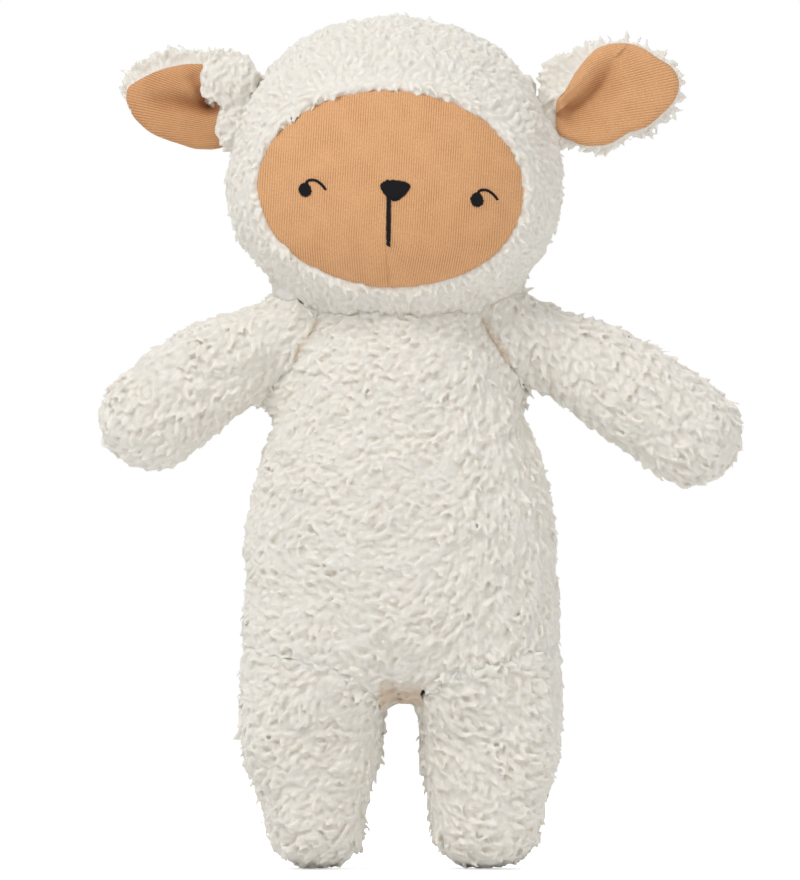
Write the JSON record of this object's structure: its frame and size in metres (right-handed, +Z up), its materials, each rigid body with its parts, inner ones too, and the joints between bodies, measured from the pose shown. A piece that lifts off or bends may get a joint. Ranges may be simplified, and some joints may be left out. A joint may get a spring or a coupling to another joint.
{
  "type": "plush sheep",
  "caption": "Standing plush sheep: cream pile body, hooded head with a knitted oval face and lined ears, sewn arms and legs that swing.",
  "frame": {"origin": "middle of the footprint of the whole toy, on the plane of its two soles", "axes": "+Z up, the sheep faces -Y, and its left side is at +X; its arms and head are sewn on a little unevenly, as in the picture"},
  "size_m": [0.2648, 0.1082, 0.3491],
  "materials": {
    "pile": "matte",
    "knit": "matte",
    "thread": "satin",
    "stuffing": "matte"
  },
  "bodies": {
    "body": {"body_cover": "pile", "body_stuffing": "stuffing"},
    "head": {"head_cover": "pile", "head_stuffing": "stuffing", "face_panel": "knit", "left_eye": "thread", "right_eye": "thread", "left_lash": "thread", "right_lash": "thread", "nose": "thread", "mouth": "thread"},
    "left_ear": {"left_ear_back": "pile", "left_ear_lining": "knit"},
    "right_ear": {"right_ear_back": "pile", "right_ear_lining": "knit"},
    "left_arm": {"left_arm_cover": "pile", "left_arm_stuffing": "stuffing"},
    "right_arm": {"right_arm_cover": "pile", "right_arm_stuffing": "stuffing"},
    "left_leg": {"left_leg_cover": "pile", "left_leg_stuffing": "stuffing"},
    "right_leg": {"right_leg_cover": "pile", "right_leg_stuffing": "stuffing"}
  },
  "joints": [
    {"name": "neck_nod", "type": "hinge", "parent": "body", "child": "head", "pos_m": [-0.00812, -0.00016, 0.2], "axis": [1, 0, 0], "range_deg": [-15, 15], "stiffness_Nm_per_rad": 0.9},
    {"name": "left_shoulder", "type": "hinge", "parent": "body", "child": "left_arm", "pos_m": [0.03737, -0.00016, 0.221], "axis": [0, -1, 0], "range_deg": [-14, 32], "stiffness_Nm_per_rad": 0.25},
    {"name": "right_shoulder", "type": "hinge", "parent": "body", "child": "right_arm", "pos_m": [-0.05361, -0.00016, 0.221], "axis": [0, 1, 0], "range_deg": [-14, 32], "stiffness_Nm_per_rad": 0.25},
    {"name": "left_hip", "type": "hinge", "parent": "body", "child": "left_leg", "pos_m": [0.02838, -0.00016, 0.066], "axis": [-1, 0, 0], "range_deg": [-25, 80], "stiffness_Nm_per_rad": 0.6},
    {"name": "right_hip", "type": "hinge", "parent": "body", "child": "right_leg", "pos_m": [-0.04462, -0.00016, 0.066], "axis": [-1, 0, 0], "range_deg": [-25, 80], "stiffness_Nm_per_rad": 0.6},
    {"name": "left_ear_flop", "type": "hinge", "parent": "head", "child": "left_ear", "pos_m": [0.05353, -0.00016, 0.30484], "axis": [0.3584, 0, -0.9336], "range_deg": [-15, 15], "stiffness_Nm_per_rad": 0.02},
    {"name": "right_ear_flop", "type": "hinge", "parent": "head", "child": "right_ear", "pos_m": [-0.07415, -0.00016, 0.30619], "axis": [0.1994, 0, 0.9799], "range_deg": [-15, 15], "stiffness_Nm_per_rad": 0.02}
  ]
}
